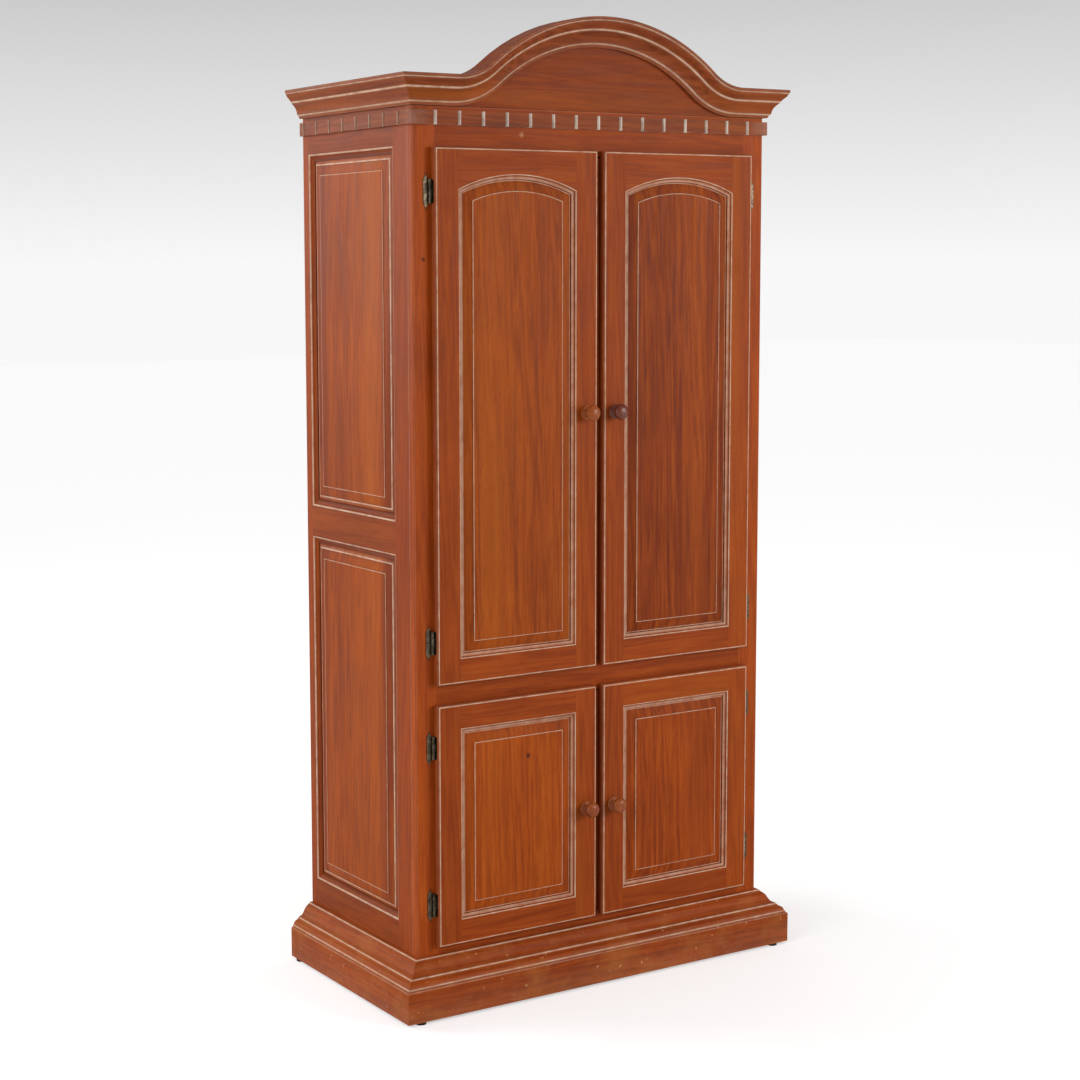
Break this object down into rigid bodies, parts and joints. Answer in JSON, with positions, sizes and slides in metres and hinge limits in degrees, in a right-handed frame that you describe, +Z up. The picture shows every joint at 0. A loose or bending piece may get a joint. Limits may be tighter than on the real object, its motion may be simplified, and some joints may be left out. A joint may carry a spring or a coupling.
{
  "type": "television armoire",
  "caption": "Tall wooden cabinet with an arched crown, dentil strip, raised-panel doors over a television bay and a shelved base, on a moulded plinth.",
  "frame": {"origin": "on the floor, under the middle of the cabinet's overall box", "axes": "+X to the viewer's right, -Y out of the doors, +Z up"},
  "size_m": [1.098, 0.559, 2.237],
  "materials": {
    "cherry_frame": "satin stained pine with whitewash left in the edges",
    "panel_wood": "satin stained glued-up boards, vertical grain",
    "moulding_wood": "satin stained mouldings with whitewash in the quirks and wear",
    "inside_wood": "matt thin stain",
    "antique_brass": "dark antique brass",
    "glide_plastic": "dark moulded glide"
  },
  "bodies": {
    "carcase": {"arched_frieze_board": "cherry_frame", "back_panel": "inside_wood", "base_cap_front": "moulding_wood", "base_cap_left": "moulding_wood", "base_cap_right": "moulding_wood", "bottom_board": "inside_wood", "crown_front": "moulding_wood", "crown_left": "moulding_wood", "crown_right": "moulding_wood", "dentil_strip_front": "moulding_wood", "dentil_strip_left": "moulding_wood", "dentil_strip_right": "moulding_wood", "face_frame": "cherry_frame", "glide_front_left": "glide_plastic", "glide_front_right": "glide_plastic", "glide_rear_left": "glide_plastic", "glide_rear_right": "glide_plastic", "left_side_frame": "cherry_frame", "left_side_lower_panel": "panel_wood", "left_side_upper_panel": "panel_wood", "lower_left_door_lower_hinge_frame_leaf": "antique_brass", "lower_left_door_upper_hinge_frame_leaf": "antique_brass", "lower_right_door_lower_hinge_frame_leaf": "antique_brass", "lower_right_door_upper_hinge_frame_leaf": "antique_brass", "lower_shelf": "inside_wood", "plinth_front": "moulding_wood", "plinth_left": "moulding_wood", "plinth_right": "moulding_wood", "right_side_frame": "cherry_frame", "right_side_lower_panel": "panel_wood", "right_side_upper_panel": "panel_wood", "television_deck": "inside_wood", "top_board": "cherry_frame", "upper_left_door_lower_hinge_frame_leaf": "antique_brass", "upper_left_door_upper_hinge_frame_leaf": "antique_brass", "upper_right_door_lower_hinge_frame_leaf": "antique_brass", "upper_right_door_upper_hinge_frame_leaf": "antique_brass"},
    "upper_left_door": {"upper_left_door_frame": "cherry_frame", "upper_left_door_knob": "panel_wood", "upper_left_door_lower_hinge_door_leaf": "antique_brass", "upper_left_door_meeting_strip": "cherry_frame", "upper_left_door_panel": "panel_wood", "upper_left_door_upper_hinge_door_leaf": "antique_brass"},
    "upper_right_door": {"upper_right_door_frame": "cherry_frame", "upper_right_door_knob": "panel_wood", "upper_right_door_lower_hinge_door_leaf": "antique_brass", "upper_right_door_panel": "panel_wood", "upper_right_door_upper_hinge_door_leaf": "antique_brass"},
    "lower_left_door": {"lower_left_door_frame": "cherry_frame", "lower_left_door_knob": "panel_wood", "lower_left_door_lower_hinge_door_leaf": "antique_brass", "lower_left_door_meeting_strip": "cherry_frame", "lower_left_door_panel": "panel_wood", "lower_left_door_upper_hinge_door_leaf": "antique_brass"},
    "lower_right_door": {"lower_right_door_frame": "cherry_frame", "lower_right_door_knob": "panel_wood", "lower_right_door_lower_hinge_door_leaf": "antique_brass", "lower_right_door_panel": "panel_wood", "lower_right_door_upper_hinge_door_leaf": "antique_brass"}
  },
  "joints": [
    {"name": "upper_left_door_swing", "type": "hinge", "parent": "carcase", "child": "upper_left_door", "pos_m": [-0.4475, -0.225, 1.3465], "axis": [0, 0, -1], "range_deg": [0, 110]},
    {"name": "upper_right_door_swing", "type": "hinge", "parent": "carcase", "child": "upper_right_door", "pos_m": [0.4475, -0.225, 1.3465], "axis": [0, 0, 1], "range_deg": [0, 110]},
    {"name": "lower_left_door_swing", "type": "hinge", "parent": "carcase", "child": "lower_left_door", "pos_m": [-0.4475, -0.225, 0.4305], "axis": [0, 0, -1], "range_deg": [0, 110]},
    {"name": "lower_right_door_swing", "type": "hinge", "parent": "carcase", "child": "lower_right_door", "pos_m": [0.4475, -0.225, 0.4305], "axis": [0, 0, 1], "range_deg": [0, 110]}
  ]
}
